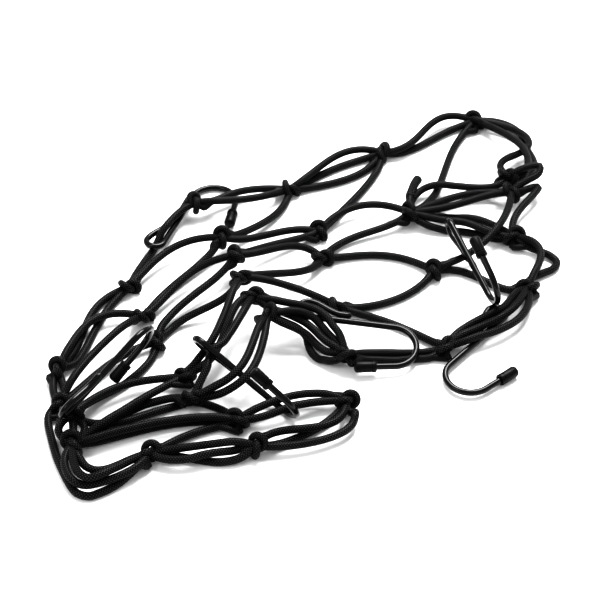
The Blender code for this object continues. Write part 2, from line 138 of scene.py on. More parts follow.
# Turns of the cord away from a knot.
BENDS: dict[str, Place] = {
    "a": Place(158, 165, 3.0, -90),
    "b": Place(161, 152, 8.0, -100),
    "c": Place(156, 121, 12.0, -110),
    "d": Place(166, 116, 14.0, 130),
    "e": Place(163, 104, 10.0, -115),
    "f": Place(170, 34, 4.0, -80),
    "g": Place(-92, 51, 4.0, -120),
    "h": Place(15, -38, 17.0, -55),
    "j": Place(11, -39, 14.0, -60),
    "k": Place(127, -22, 8.5, -150),
    "m": Place(-152, -116, 3.0, -75),
    "n": Place(-124, -171, 3.0, 15),
    "p": Place(33, -108, 8.0, 95),
    "q": Place(106, 65, 3.0, 0),
    "r": Place(106, 68, 8.0, 0),
    "s": Place(107, 80, 3.0, 10),
    "t": Place(-142, -148, 3.0, -65),
    "u": Place(-126, -166, 7.0, 10),
    "v": Place(6, -40, 10.0, -70),
    "w": Place(81, 112, 9.0, 65),
    "x": Place(14, -57, 5.0, -20),
    "y": Place(6, -36, 16.0, -45),
    "z": Place(10, -48, 9.0, -65),
}

# Cord runs between the knots.
RUNS: tuple[Run, ...] = (
    Run("01 02", -6, -10, 2.0),
    Run("01 02", 0, 16, -3.5),
    Run("02 03", 0, 26, 2.5),
    Run("02 03", 6, 8, -2.5),
    Run("02 03", -6, -18, -2.5),
    Run("03 04", -20, 36, 2.0),
    Run("03 04", -12, 9, -3.0),
    Run("04 a 05", 14, 32, -1.0),
    Run("04 b 05", 8, -24, 0.0),
    Run("04 c 05", 10, 8, 0.0),
    Run("06 d 05", 2, 4, 0.0),
    Run("06 e 18", 0, -12, 0.0),
    Run("15 06", -10, 2, 2.0),
    Run("15 06", 4, 20, -3.0),
    Run("15 05", 50, -16, -4.5),
    Run("04 15", -13, 16, -5.0),
    Run("15 w", 2, 0, 0.0),
    Run("03 12", 9, 2, -3.0),
    Run("12 15", 20, 22, 0.5),
    Run("02 07", 14, 6, -4.0),
    Run("07 12", -10, 12, -0.5),
    Run("08 12", 5, 1, -2.5),
    Run("08 13", -6, 22, 2.5),
    Run("09 13", 4, -16, -1.5),
    Run("09 14", 6, 4, 1.5),
    Run("13 15", 16, -4, -2.5),
    Run("13 16", 12, 20, -2.5),
    Run("14 16", -12, -14, -2.5),
    Run("14 17", 8, 6, -2.5),
    Run("15 q 18", -6, -4, -1.0),
    Run("15 r 18", -2, -8, 0.0),
    Run("15 s 18", 12, 6, -1.0),
    Run("06 16", 20, 19, 6.5),
    Run("18 19", 27, 8, 1.5),
    Run("18 f 19", -4, -12, 0.0),
    Run("16 19", 20, -12, -2.5),
    Run("19 k 17", -6, -6, 0.0),
    Run("19 17", 15, 5, 4.0),
    Run("19 17", 29, 13, 2.0),
    Run("17 20", 12, -2, -4.5),
    Run("17 20", 6, -8, -4.5),
    Run("10 h 20", -4, 2, 0.0),
    Run("11 j 20", 6, 2, 0.0),
    Run("10 y 20", -3, 0, 0.0),
    Run("11 z 20", -2, -2, 0.0),
    Run("11 v x 20", 0, -6, 0.0),
    Run("01 g 21", -6, -2, 0.0),
    Run("21 07", 10, 22, 0.0),
    Run("21 24", -26, 10, -3.0),
    Run("21 24", -12, 6, -3.0),
    Run("22 24", -34, -8, 1.5),
    Run("22 07", 10, -2, -5.5),
    Run("22 08", 4, 20, -1.5),
    Run("22 25", -4, -6, 7.0),
    Run("23 08", 15, -2, -3.5),
    Run("23 09", 20, -8, -5.5),
    Run("23 25", -12, -2, 0.0),
    Run("23 26", 13, -14, -5.5),
    Run("24 25", -6, -3, -2.5),
    Run("24 25", 3, 6, -2.5),
    Run("25 m t n 30", -6, -4, 0.0),
    Run("26 28", 17, 14, -2.0),
    Run("26 27", -11, -11, 0.5),
    Run("26 27", 1, 1, 0.0),
    Run("26 27", 11, 11, -1.0),
    Run("28 27", -3, 1, 0.0),
    Run("29 27", -26, -4, -4.5),
    Run("26 31", -18, 42, -6.0),
    Run("27 31", 5, 11, 1.5),
    Run("27 31", 6, 15, -4.0),
    Run("09 28", 3, 15, 7.5),
    Run("10 28", -11, 19, 7.5),
    Run("10 29", 6, 5, 6.0),
    Run("11 29", 3, 29, 3.5),
    Run("11 29", 11, 31, 0.0),
    Run("27 30", -38, -8, 0.5),
    Run("27 30", -60, -12, 0.5),
    Run("27 u 30", -12, -10, 0.5),
    Run("30 31", 7, 7, -3.0),
    Run("30 32", 0, 1, 0.5),
    Run("30 32", 6, -18, -4.0),
    Run("30 32", -18, 6, -0.5),
    Run("31 33", 10, 16, 1.5),
    Run("31 33", -8, 10, -0.5),
    Run("32 33", 14, -30, 0.5),
    Run("32 33", -7, -7, -4.5),
    Run("32 p 33", -10, 4, -2.0),
)

# The six hooks.
HOOKS: dict[str, HookPlace] = {
    "a": HookPlace(-93, 40, 8.0, 72, -4, 180),
    "b": HookPlace(-143.4, -123.2, 16.6, 44, 24, 293),
    "c": HookPlace(-65, -68, 34.0, -30, -28, 116),
    "d": HookPlace(-3.5, -31, 16.0, -6, -4, 190),
    "e": HookPlace(136, -15, 4.0, -131, 0, 0),
    "f": HookPlace(97, 56, 24.4, -67, -15, 100),
}


class Hand(Enum):
    """Which way round a knot is tied."""

    RIGHT = 1.0
    LEFT = -1.0


class Solid(IntEnum):
    """What a line that stays in place stands for, numbered apart from the runs."""

    KNOT = -1
    WIRE = -2
    SLEEVE = -3


# The way that the rolled side of a tight knot faces, as far as its long axis allows.
FACE_FRONT = 0.73
FACE_UP = 0.68

# The knots are turned from there about their long axes, in turn, by these angles in degrees.
LEANS = (0.0, 38.0, -32.0, 20.0, -45.0)


def to_model(points: Points) -> Points:
    """Turn points in mm on the tables' ground plan into model points in metres."""
    return (np.asarray(points, float) - [NET_MIDDLE[0], NET_MIDDLE[1], 0.0]) * MM


def heading(angle: float) -> Points:
    """Unit vector on the ground plan for a heading in degrees."""
    return np.array([math.cos(math.radians(angle)), math.sin(math.radians(angle))])


def travelled(points: Points) -> Points:
    """Distance from the start of a line to each of its points."""
    return np.concatenate([[0.0], np.cumsum(np.linalg.norm(np.diff(points, axis=0), axis=1))])


def resampled(points: Points, spacing: float, least: int = 2) -> Points:
    """Read evenly spaced points off a line.

    Args:
        points: The line's points.
        spacing: The distance aimed at between new points.
        least: The fewest straight pieces.

    Returns:
        The new points, the line's two ends among them.
    """
    far = travelled(points)
    pieces = max(least, round(far[-1] / spacing))
    wanted = np.linspace(0.0, far[-1], pieces + 1)
    return np.stack([np.interp(wanted, far, points[:, i]) for i in range(3)], axis=1)


def rounded_line(points: Points, steps: int) -> Points:
    """Draw a smooth curve through a line's points.

    Args:
        points: The points that the curve passes.
        steps: Pieces drawn between each two of them.

    Returns:
        The curve's points.
    """
    p0, p1 = np.vstack([2 * points[0] - points[1], points[:-2]]), points[:-1]
    p2, p3 = points[1:], np.vstack([points[2:], 2 * points[-1] - points[-2]])
    share = np.linspace(0.0, 1.0, steps, endpoint=False)[:, None, None]
    curve = 0.5 * (
        2 * p1
        + (p2 - p0) * share
        + (2 * p0 - 5 * p1 + 4 * p2 - p3) * share**2
        + (3 * p1 - p0 - 3 * p2 + p3) * share**3
    )
    return np.vstack([curve.transpose(1, 0, 2).reshape(-1, 3), points[-1:]])


def nearest(p0: Points, p1: Points, q0: Points, q1: Points) -> tuple[Points, Points]:
    """Find where straight pieces come nearest to each other.

    Args:
        p0: Starts of the first pieces.
        p1: Their ends.
        q0: Starts of the second pieces.
        q1: Their ends.

    Returns:
        The shares along the first and along the second pieces.
    """
    u, v, w = p1 - p0, q1 - q0, p0 - q0
    a, b, c = np.maximum((u * u).sum(1), 1e-9), (u * v).sum(1), np.maximum((v * v).sum(1), 1e-9)
    d, e = (u * w).sum(1), (v * w).sum(1)
    s = np.clip((b * e - c * d) / np.maximum(a * c - b * b, 1e-9), 0, 1)
    t = np.clip((b * s + e) / c, 0, 1)
    return np.clip((b * t - d) / a, 0, 1), t


@dataclass
class Spacer:
    """Keeps round lines clear of each other by moving them apart where they cross."""

    gap: float
    floor: float
    turns: int = 200
    smooth_share: float = 0.8
    smoothing: float = 0.2
    renew_every: int = 10
    look_around: float = 6.0
    piece_length: float = 6.0
    points: list[Points] = field(default_factory=list)
    loose: list[Points] = field(default_factory=list)
    inner: list[Points] = field(default_factory=list)
    pieces: list[tuple[int, int, int, str, float]] = field(default_factory=list)
    starts: list[int] = field(default_factory=list)

    def add(self, line: Points, radius: float, owners: Sequence[str], name: int, fixed: bool) -> None:
        """Add a line.

        Args:
            line: Its points in mm.
            radius: Half its thickness in mm.
            owners: For each straight piece, what it belongs to; pieces with one owner may touch.
            name: The run's number, or what else the line stands for.
            fixed: Whether all of it stays where it is, and not just its ends.
        """
        first = sum(len(points) for points in self.points)
        self.starts.append(first)
        self.points.append(line)
        free = np.zeros(len(line)) if fixed else np.ones(len(line))
        free[0] = 0.0
        if name >= 0 and owners[-1] != "free":
            free[-1] = 0.0
        self.loose.append(free)
        inner = np.zeros(len(line))
        inner[1:-1] = 1.0
        self.inner.append(inner)
        self.pieces += [(first + step, name, step, owner, radius) for step, owner in enumerate(owners)]

    def settle(self) -> list[Points]:
        """Move the lines apart, and for most of the turns keep them smooth as well.

        Returns:
            The lines in the order in which they were added.
        """
        x = np.vstack(self.points)
        home, free, inner = x.copy(), np.concatenate(self.loose), np.concatenate(self.inner)[:, None]
        for turn in range(self.turns):
            if turn % self.renew_every == 0:
                p0, p1, q0, q1, wanted = self.near_pairs(x, free)
            s, t = nearest(x[p0], x[p1], x[q0], x[q1])
            apart = x[p0] + s[:, None] * (x[p1] - x[p0]) - x[q0] - t[:, None] * (x[q1] - x[q0])
            distance = np.maximum(np.linalg.norm(apart, axis=1), 1e-6)
            close = distance < wanted
            shares = np.stack([1 - s, s, t - 1, -t])[:, close]
            places = np.stack([p0, p1, q0, q1])[:, close]
            weight = np.maximum((free[places] * shares**2).sum(0), 1e-6)
            push = ((wanted - distance) / distance)[close][:, None] * apart[close] / weight[:, None]
            move, count = np.zeros_like(x), np.zeros(len(x))
            for share, place in zip(shares, places):
                np.add.at(move, place, (share * free[place])[:, None] * push)
                np.add.at(count, place, (free[place] > 0) * 1.0)
            x = x + move / np.maximum(count, 1)[:, None]
            if turn < self.turns * self.smooth_share:
                shift = x - home
                mean = (np.roll(shift, 1, 0) + np.roll(shift, -1, 0)) / 2
                x = x + self.smoothing * inner * free[:, None] * (mean - shift)
            x[:, 2] = np.where(free > 0, np.maximum(x[:, 2], self.floor), x[:, 2])
        return [x[start:start + len(points)] for start, points in zip(self.starts, self.points)]

    def near_pairs(self, x: Points, free: Points) -> tuple[Points, Points, Points, Points, Points]:
        """Find the pairs of pieces that have to stay clear of each other.

        Args:
            x: All points.
            free: Which of them may move.

        Returns:
            The starts and ends of both pieces of each pair, and the distance wanted between them.
        """
        head, name, step, owner, radius = (np.array(column) for column in zip(*self.pieces))
        lone = {start for start, points in zip(self.starts, self.points) if len(points) == 1}
        tail = np.array([first if first in lone else first + 1 for first in head])
        middle = (x[head] + x[tail]) / 2
        reach = np.linalg.norm(x[tail] - x[head], axis=1) / 2
        a, b = np.triu_indices(len(head), 1)
        wanted = radius[a] + radius[b] + self.gap
        far = np.linalg.norm(middle[a] - middle[b], axis=1)
        near = far < reach[a] + reach[b] + wanted + self.look_around
        near &= ~((name[a] == name[b]) & (np.abs(step[a] - step[b]) * self.piece_length < wanted * 2))
        near &= owner[a] != owner[b]
        near &= free[head[a]] + free[tail[a]] + free[head[b]] + free[tail[b]] > 0
        a, b = a[near], b[near]
        return head[a], tail[a], head[b], tail[b], wanted[near]


@dataclass
class HookWire:
    """The bent wire of a hook, drawn in its own plane: eye, shank, bend and tip leg."""

    diameter: float = 4.2
    length: float = 81.0
    width: float = 30.0
    opening: float = 10.0
    tip_leg: float = 40.0
    eye_radius: float = 6.0
    eye_length: float = 36.0
    eye_neck: float = 4.6

    def flat_line(self, fineness: int) -> Points:
        """Points in mm of the wire in its plane, from the eye's free end to the tip.

        Args:
            fineness: Pieces to a quarter turn.

        Returns:
            Distances along the shank and across it, one row for each point.
        """
        wire = self.diameter / 2
        eye = self.eye_radius + wire
        line = []
        for i in range(2 * fineness):
            u = self.eye_length + (eye - self.eye_length) * i / (2 * fineness)
            closing = min(1.0, (u - eye) / (self.eye_length - self.eye_radius - eye))
            drawn_in = (2 * self.eye_radius - self.eye_neck) * (1 - math.cos(math.pi * closing)) / 2
            line.append((u, drawn_in - 2 * self.eye_radius))
        for i in range(2 * fineness + 1):
            angle = math.pi * i / (2 * fineness)
            line.append((eye - self.eye_radius * math.sin(angle), -self.eye_radius * (1 + math.cos(angle))))
        bend = self.width / 2
        shank = self.length - wire - bend
        line += [(eye + (shank - eye) * i / fineness, 0.0) for i in range(1, fineness + 1)]
        turn = math.radians(180 - self.opening)
        for i in range(1, 3 * fineness + 1):
            angle = turn * i / (3 * fineness)
            line.append((shank + bend * math.sin(angle), bend * (1 - math.cos(angle))))
        leg, last = self.tip_leg - bend - wire, line[-1]
        line += [(last[0] + leg * s * math.cos(turn), last[1] + leg * s * math.sin(turn)) for s in (0.5, 1.0)]
        return np.array(line)

    def placed(self, place: HookPlace, fineness: int) -> Points:
        """Points in mm of the wire where a hook lies.

        Args:
            place: The hook's place.
            fineness: Pieces to a quarter turn.

        Returns:
            The points on the tables' ground plan.
        """
        rise, roll = math.radians(place.pitch), math.radians(place.roll)
        plan = heading(place.heading)
        shank = np.array([plan[0] * math.cos(rise), plan[1] * math.cos(rise), math.sin(rise)])
        level = np.array([-plan[1], plan[0], 0.0])
        across = math.cos(roll) * level + math.sin(roll) * np.cross(shank, level)
        flat = self.flat_line(fineness)
        return np.array([place.x, place.y, place.height]) + flat[:, :1] * shank + flat[:, 1:] * across


@dataclass
class NetLayout:
    """Where every run of cord lies, worked out from the tables of knots, bends, runs and hooks."""

    cord_diameter: float = 5.0
    gap: float = 0.35
    knot_length: float = 13.0
    in_knot: float = 8.0
    spacing: float = 7.0
    least_pieces: int = 4
    section_points: int = 41
    bend_reach: float = 0.3
    hook_fineness: int = 3
    sleeve_radius: float = 3.7
    sleeve_cover: float = 0.6
    hook: HookWire = field(default_factory=HookWire)

    def section(self, first: str, last: str, run: Run) -> Points:
        """Draw one smooth section of a run between two places.

        Args:
            first: Name of the place that it leaves.
            last: Name of the place that it reaches.
            run: The run that it belongs to.

        Returns:
            Its points in mm.
        """
        start, end = (KNOTS.get(name) or BENDS[name] for name in (first, last))
        p0, p3 = np.array([start.x, start.y], float), np.array([end.x, end.y], float)
        chord = p3 - p0
        length = np.hypot(*chord)
        left = np.array([-chord[1], chord[0]]) / length
        reach = self.bend_reach * length
        p1 = p0 + (reach * heading(start.turn) if first in BENDS else chord / 3 + run.out * left)
        p2 = p3 + (-reach * heading(end.turn) if last in BENDS else run.back * left - chord / 3)
        t = np.linspace(0, 1, self.section_points)[:, None]
        plan = (1 - t) ** 3 * p0 + 3 * (1 - t) ** 2 * t * p1 + 3 * (1 - t) * t**2 * p2 + t**3 * p3
        rise = (end.height - start.height) * t + run.lift * (1 - (2 * t - 1) ** 4)
        return np.hstack([plan, start.height + rise])

    def run_line(self, run: Run) -> Points:
        """Draw a whole run, with a point at each of its places.

        Args:
            run: The run.

        Returns:
            Evenly spaced points in mm along it.
        """
        names = run.places.split()
        parts = [self.section(first, last, run) for first, last in zip(names, names[1:])]
        parts = [resampled(part, self.spacing, self.least_pieces) for part in parts]
        return np.vstack([parts[0]] + [part[1:] for part in parts[1:]])

    def owners(self, number: int, line: Points) -> list[str]:
        """Name what each straight piece of a run belongs to: the knot it is in, or else the run.

        Args:
            number: The run's number in its table.
            line: Its points in mm.

        Returns:
            One name for each piece, which is "free" where the run's far end is in no knot.
        """
        names = RUNS[number].places.split()
        knotted = names[-1] in KNOTS
        far = travelled(line)
        found = []
        for start, end in zip(far, far[1:]):
            if start < self.in_knot:
                found.append(names[0])
            elif knotted and far[-1] - end < self.in_knot:
                found.append(names[-1])
            else:
                found.append(f"run {number}" if knotted else "free")
        return found

    def laid_lines(self) -> list[Points]:
        """Lay every run clear of the others, of the knots and of the hooks.

        Returns:
            One line of points in mm for each run.
        """
        spacer = Spacer(self.gap, self.cord_diameter / 2 + FLOOR_GAP)
        for number, run in enumerate(RUNS):
            line = self.run_line(run)
            spacer.add(line, self.cord_diameter / 2, self.owners(number, line), number, False)
        for name, place in KNOTS.items():
            middle = np.array([[place.x, place.y, place.height]], float)
            spacer.add(middle, self.knot_length / 2, [name], Solid.KNOT, True)
        for name, place in HOOKS.items():
            line, owner = self.hook.placed(place, self.hook_fineness), "hook " + name
            spacer.add(line, self.hook.diameter / 2, [owner] * (len(line) - 1), Solid.WIRE, True)
            covered = np.array([line[-1] + (line[-2] - line[-1]) * self.sleeve_cover, line[-1]])
            spacer.add(covered, self.sleeve_radius, [owner], Solid.SLEEVE, True)
        return spacer.settle()[:len(RUNS)]


def tube(shape: BMesh, line: Points, radius: Callable[[float], float], sides: int) -> None:
    """Add a round tube with open ends to a mesh, with a map that runs around and along it.

    Args:
        shape: The mesh that gets the tube.
        line: The points in metres of its middle line.
        radius: The tube's radius in metres at a share of its length from 0 to 1.
        sides: How many flat sides it has.
    """
    rings = len(line)
    chart = shape.loops.layers.uv.verify()
    grid = bmesh.ops.create_grid(shape, x_segments=sides, y_segments=rings - 1, size=0.5, calc_uvs=True)
    way = np.gradient(line, axis=0)
    way /= np.linalg.norm(way, axis=1)[:, None]
    steep = abs(way[0][2]) > 0.9
    side = np.cross(way[0], (1.0, 0.0, 0.0) if steep else UP)
    frames = []
    for direction in way:
        side = side - direction * side.dot(direction)
        side /= np.linalg.norm(side)
        frames.append((side, np.cross(direction, side)))
    far = travelled(line)
    girth = 2 * math.pi * radius(0.5)
    for vert in grid["verts"]:
        around, ring = round((vert.co.x + 0.5) * sides), round((vert.co.y + 0.5) * (rings - 1))
        angle = 2 * math.pi * (around % sides) / sides
        across, over = frames[ring]
        thick = radius(far[ring] / far[-1])
        vert.co = line[ring] + thick * (math.cos(angle) * across + math.sin(angle) * over)
    faces = {face for vert in grid["verts"] for face in vert.link_faces}
    for face in faces:
        for loop in face.loops:
            u, v = loop[chart].uv
            loop[chart].uv = (u, far[min(rings - 1, round(v * (rings - 1)))] / girth)
    border = [vert for vert in grid["verts"] if len(vert.link_edges) < 4]
    bmesh.ops.remove_doubles(shape, verts=border, dist=radius(0.5) * 0.01)


def close_and_turn_out(shape: BMesh) -> None:
    """Cap every open end of a mesh and point all faces outwards."""
    bmesh.ops.holes_fill(shape, edges=[edge for edge in shape.edges if edge.is_boundary])
    bmesh.ops.recalc_face_normals(shape, faces=shape.faces)


def piece_from(name: str, shape: BMesh, material: Material) -> Object:
    """Turn a mesh under work into a finished, smooth piece that rides on the net.

    Args:
        name: The piece's name.
        shape: The mesh, which is freed.
        material: Its finish.

    Returns:
        The new object.
    """
    mesh = bpy.data.meshes.new(name)
    shape.to_mesh(mesh)
    shape.free()
    mesh.materials.append(material)
    mesh.shade_smooth()
    mesh.set_sharp_from_angle(angle=math.radians(SHARP_ANGLE))
    piece = bpy.data.objects.new(name, mesh)
    bpy.context.scene.collection.objects.link(piece)
    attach(piece, "root")
    LOG.info("%s: %d faces", name, len(mesh.polygons))
    return piece


@dataclass
class OverhandKnot:
    """A cord tied into an overhand knot, which is found by shortening an open knot until it is tight."""

    diameter: float = 4.3
    half_span: float = 15.0
    openness: float = 2.7
    half_range: float = 2.05
    open_points: int = 160
    pulls: int = 1100
    pull: float = 0.9
    pushes: int = 3
    piece_share: float = 0.42
    bend_share: float = 1.7
    body: float = 8.5
    usual_cords: int = 4
    widening: float = 0.03
    widest: float = 1.18
    tight: Points | None = None

    def open_line(self) -> Points:
        """Draw the open knot on the known polynomial curve of an overhand knot.

        Returns:
            Its points in mm, the ends drawn out along the long axis.
        """
        t = np.linspace(-self.half_range, self.half_range, self.open_points)
        knot = np.stack([t**3 - 3 * t, t**4 - 4 * t**2, (t**5 - 10 * t) / 5], axis=1)
        axis = (knot[-1] - knot[0]) / np.linalg.norm(knot[-1] - knot[0])
        across = np.array([0.0, 1.0, 0.0])
        turned = (knot - (knot[0] + knot[-1]) / 2) @ np.stack([axis, across, np.cross(axis, across)], axis=1)
        turned *= self.openness
        return np.vstack([[[-self.half_span, 0, 0]], turned, [[self.half_span, 0, 0]]])

    def apart(self, line: Points) -> Points:
        """Push strands of the knot that overlap away from each other.

        Args:
            line: The knot's points.

        Returns:
            The moved points, with both ends where they were.
        """
        a, b = np.triu_indices(len(line), round(self.bend_share / self.piece_share))
        between = line[a] - line[b]
        far = np.linalg.norm(between, axis=1)
        close = far < self.diameter
        a, b, between, far = a[close], b[close], between[close], far[close]
        push = ((self.diameter - far) / far / 2)[:, None] * between
        move, count = np.zeros_like(line), np.zeros(len(line))
        for index, sign in ((a, 1.0), (b, -1.0)):
            np.add.at(move, index, sign * push)
            np.add.at(count, index, 1.0)
        move[0] = move[-1] = 0.0
        return line + move / np.maximum(count, 1.0)[:, None]

    def pulled_tight(self) -> Points:
        """Shorten the open knot until its strands lie against each other, and centre its body.

        Returns:
            The tight knot's points in mm, which are worked out once and kept.
        """
        if self.tight is None:
            spacing = self.piece_share * self.diameter
            line = self.open_line()
            for _ in range(self.pulls):
                line = resampled(line, spacing)
                line[1:-1] += self.pull * ((line[:-2] + line[2:]) / 2 - line[1:-1])
                for _ in range(self.pushes):
                    line = self.apart(line)
            off = np.hypot(line[:, 1], line[:, 2])
            body = line[off > self.diameter]
            self.tight = line - (body.max(axis=0) + body.min(axis=0)) / 2
        return self.tight

    def facing(self, place: Place) -> float:
        """The turn about its long axis, in degrees, that brings a knot's rolled side up and to the front."""
        return -math.degrees(math.atan2(FACE_UP, FACE_FRONT * math.cos(math.radians(place.turn))))

    def placed(self, place: Place, cords: int, turn: float, hand: Hand, ways_out: Sequence[Points]) -> Points:
        """Lay the tight knot where it belongs, its two ends drawn into the cords that leave it.

        Args:
            place: The knot's place and heading.
            cords: How many cords leave it. Its turns are the wider, the more of them they hold.
            turn: Its turn about its long axis in degrees.
            hand: Which way round it is tied.
            ways_out: For the back and the front end, points along the cord that the end is drawn into.

        Returns:
            The points of the tied cord in mm.
        """
        line = self.pulled_tight() * [1.0, 1.0, hand.value]
        line = line[np.abs(line[:, 0]) < self.body]
        line = line * min(self.widest, 1.0 + self.widening * max(0, cords - self.usual_cords))
        cosine, sine = math.cos(math.radians(turn)), math.sin(math.radians(turn))
        out, up = cosine * line[:, 1] - sine * line[:, 2], sine * line[:, 1] + cosine * line[:, 2]
        axis, left = heading(place.turn), heading(place.turn + 90)
        plan = np.array([place.x, place.y]) + line[:, :1] * axis + out[:, None] * left
        line = np.hstack([plan, (place.height + up)[:, None]])
        line = np.vstack([ways_out[0][::-1], line, ways_out[1]])
        line[:, 2] = np.maximum(line[:, 2], self.diameter / 2 + FLOOR_GAP)
        return line


@dataclass
class CordNet:
    """All the cord of the net: the runs between the knots, and the knots' own turns."""

    layout: NetLayout
    material: Material
    sides: int = 14
    run_step: float = 2.2
    knot_step: float = 1.1
    run_steps: int = 5
    knot_steps: int = 3
    leaving_step: float = 3.0
    joined_at: int = 4
    length_cost: float = 0.01
    tail_swell: float = 0.3
    whipping: float = 0.32
    whipping_from: float = 0.34
    whipping_to: float = 0.56
    whipping_step: float = 1.0
    knot: OverhandKnot = field(default_factory=OverhandKnot)

    def leaving(self, name: str, lines: Sequence[Points]) -> list[Points]:
        """List the cords that leave a knot, each read outwards from it.

        Args:
            name: The knot's name.
            lines: The line of every run.

        Returns:
            Their points in mm.
        """
        leaving = []
        for run, line in zip(RUNS, lines):
            ends = run.places.split()
            if ends[0] == name:
                leaving.append(resampled(line, self.leaving_step))
            if ends[-1] == name:
                leaving.append(resampled(line[::-1], self.leaving_step))
        return leaving

    def ways_out(self, place: Place, leaving: Sequence[Points]) -> list[Points]:
        """Find the cords that carry on from a knot's back and front end.

        Args:
            place: The knot's place and heading.
            leaving: The cords that leave it.

        Returns:
            For the back and the front end, two points on the cord that leaves nearest to that way.
        """
        axis, at = np.array([*heading(place.turn), 0.0]), self.joined_at
        chosen = []
        for side in (-1.0, 1.0):
            best = max(leaving, key=lambda line: (
                side * float((line[at] - line[0]) @ axis) - self.length_cost * len(line)))
            chosen.append(best[at:at + 2])
        return chosen

    def tail(self, shape: BMesh, line: Points, thick: float) -> None:
        """Add the cord's free end, whose sheath swells towards the flat cut, and a band bound round it.

        Args:
            shape: The mesh that gets the tail.
            line: The tail's middle line in metres.
            thick: The cord's radius in metres.
        """
        tube(shape, line, lambda share: thick * (1.0 + self.tail_swell * share), self.sides)
        far = travelled(line)
        bound = (far > far[-1] * self.whipping_from) & (far < far[-1] * self.whipping_to)
        band = resampled(line[bound], self.whipping_step * MM, 4)
        tube(shape, band, lambda share: thick * (1.0 + self.whipping), self.sides)

    def build(self) -> None:
        """Make one piece for each knot: its tied cord, and the runs that start at it."""
        lines = [rounded_line(line, self.run_steps) for line in self.layout.laid_lines()]
        thick, tied = self.layout.cord_diameter / 2 * MM, self.knot.diameter / 2 * MM
        for number, (name, place) in enumerate(KNOTS.items()):
            shape = bmesh.new()
            turn = self.knot.facing(place) + LEANS[number % len(LEANS)]
            # Two knots are tied one way round, then two the other.
            hand = Hand.LEFT if number // 2 % 2 else Hand.RIGHT
            leaving = self.leaving(name, lines)
            line = self.knot.placed(place, len(leaving), turn, hand, self.ways_out(place, leaving))
            line = resampled(rounded_line(line, self.knot_steps), self.knot_step)
            tube(shape, to_model(line), lambda share: tied, self.sides)
            for run, line in zip(RUNS, lines):
                ends = run.places.split()
                if ends[0] != name:
                    continue
                line = to_model(resampled(line, self.run_step))
                if ends[-1] in BENDS:
                    self.tail(shape, line, thick)
                else:
                    tube(shape, line, lambda share: thick, self.sides)
            close_and_turn_out(shape)
            piece = piece_from("cord_" + name, shape, self.material)
            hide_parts("knot_" + name)


@dataclass
class WireHooks:
    """The six open hooks, each a bent wire with a sleeve on its tip."""

    hook: HookWire
    wire_material: Material
    sleeve_material: Material
    sides: int = 20
    fineness: int = 8
    wire_steps: int = 3
    wire_step: float = 1.4
    end_width: float = 0.55
    end_growth: float = 40.0
    sleeve_length: float = 14.0
    sleeve_diameter: float = 7.4
    sleeve_sides: int = 28
    bore_gap: float = 0.25
    past_wire: float = 2.7

    def thickness(self, share: float) -> float:
        """Share of its full thickness that the wire has, less than 1 only at its rounded ends."""
        return min(1.0, self.end_width + self.end_growth * min(share, 1 - share))

    def wire(self, name: str, place: HookPlace) -> None:
        """Bend one hook's wire.

        Args:
            name: The hook's name.
            place: Its place.
        """
        shape = bmesh.new()
        line = rounded_line(self.hook.placed(place, self.fineness), self.wire_steps)
        line = to_model(resampled(line, self.wire_step))
        radius = self.hook.diameter / 2 * MM
        tube(shape, line, lambda share: radius * self.thickness(share), self.sides)
        close_and_turn_out(shape)
        piece = piece_from("wire_hook_" + name, shape, self.wire_material)
        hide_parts("hook_" + name)

    def profile(self) -> list[tuple[float, float]]:
        """Draw half of a sleeve's section.

        Returns:
            The radius and height in mm of each of its corners, from the closed end to the bore's bottom.
        """
        outer, bore = self.sleeve_diameter / 2, self.hook.diameter / 2 + self.bore_gap
        long = self.sleeve_length
        dome = [(0.0, long), (outer * 0.55, long - 0.15), (outer * 0.86, long - 0.7), (outer, long - 1.9)]
        waist = [(outer * 0.97, long * 0.5), (outer * 0.97, 3.4)]
        groove = [(outer * 0.9, 3.2), (outer * 0.9, 2.7)]
        collar = [(outer, 2.5), (outer, 0.4), (outer * 0.92, 0.0)]
        hole = [(bore * 1.08, 0.0), (bore, 0.4), (bore, long - 2.6), (0.0, long - 2.4)]
        return dome + waist + groove + collar + hole

    def sleeve(self, name: str, place: HookPlace) -> None:
        """Turn one rubber sleeve about its axis and push it on the wire's tip.

        Args:
            name: The hook's name.
            place: Its place.
        """
        line = self.hook.placed(place, self.fineness)
        way = (line[-1] - line[-2]) / np.linalg.norm(line[-1] - line[-2])
        closed = to_model((line[-1] + way * self.past_wire)[None])[0]
        shape = bmesh.new()
        verts = [shape.verts.new((r * MM, 0.0, z * MM)) for r, z in self.profile()]
        edges = [shape.edges.new(pair) for pair in zip(verts, verts[1:])]
        bmesh.ops.spin(
            shape, geom=verts + edges, cent=(0, 0, 0), axis=(0, 0, 1), dvec=(0, 0, 0),
            angle=2 * math.pi, steps=self.sleeve_sides, use_merge=True, use_duplicate=False,
        )
        bmesh.ops.remove_doubles(shape, verts=shape.verts, dist=WELD)
        bmesh.ops.recalc_face_normals(shape, faces=shape.faces)
        turn = Vector(way).to_track_quat("Z", "Y").to_matrix().to_4x4()
        move = Matrix.Translation(Vector(closed) - Vector(way) * self.sleeve_length * MM)
        bmesh.ops.transform(shape, matrix=move @ turn, verts=shape.verts)
        piece = piece_from("tip_sleeve_" + name, shape, self.sleeve_material)
        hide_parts("sleeve_" + name)

    def build(self) -> None:
        """Make every hook and its sleeve."""
        for name, place in HOOKS.items():
            self.wire(name, place)
            self.sleeve(name, place)


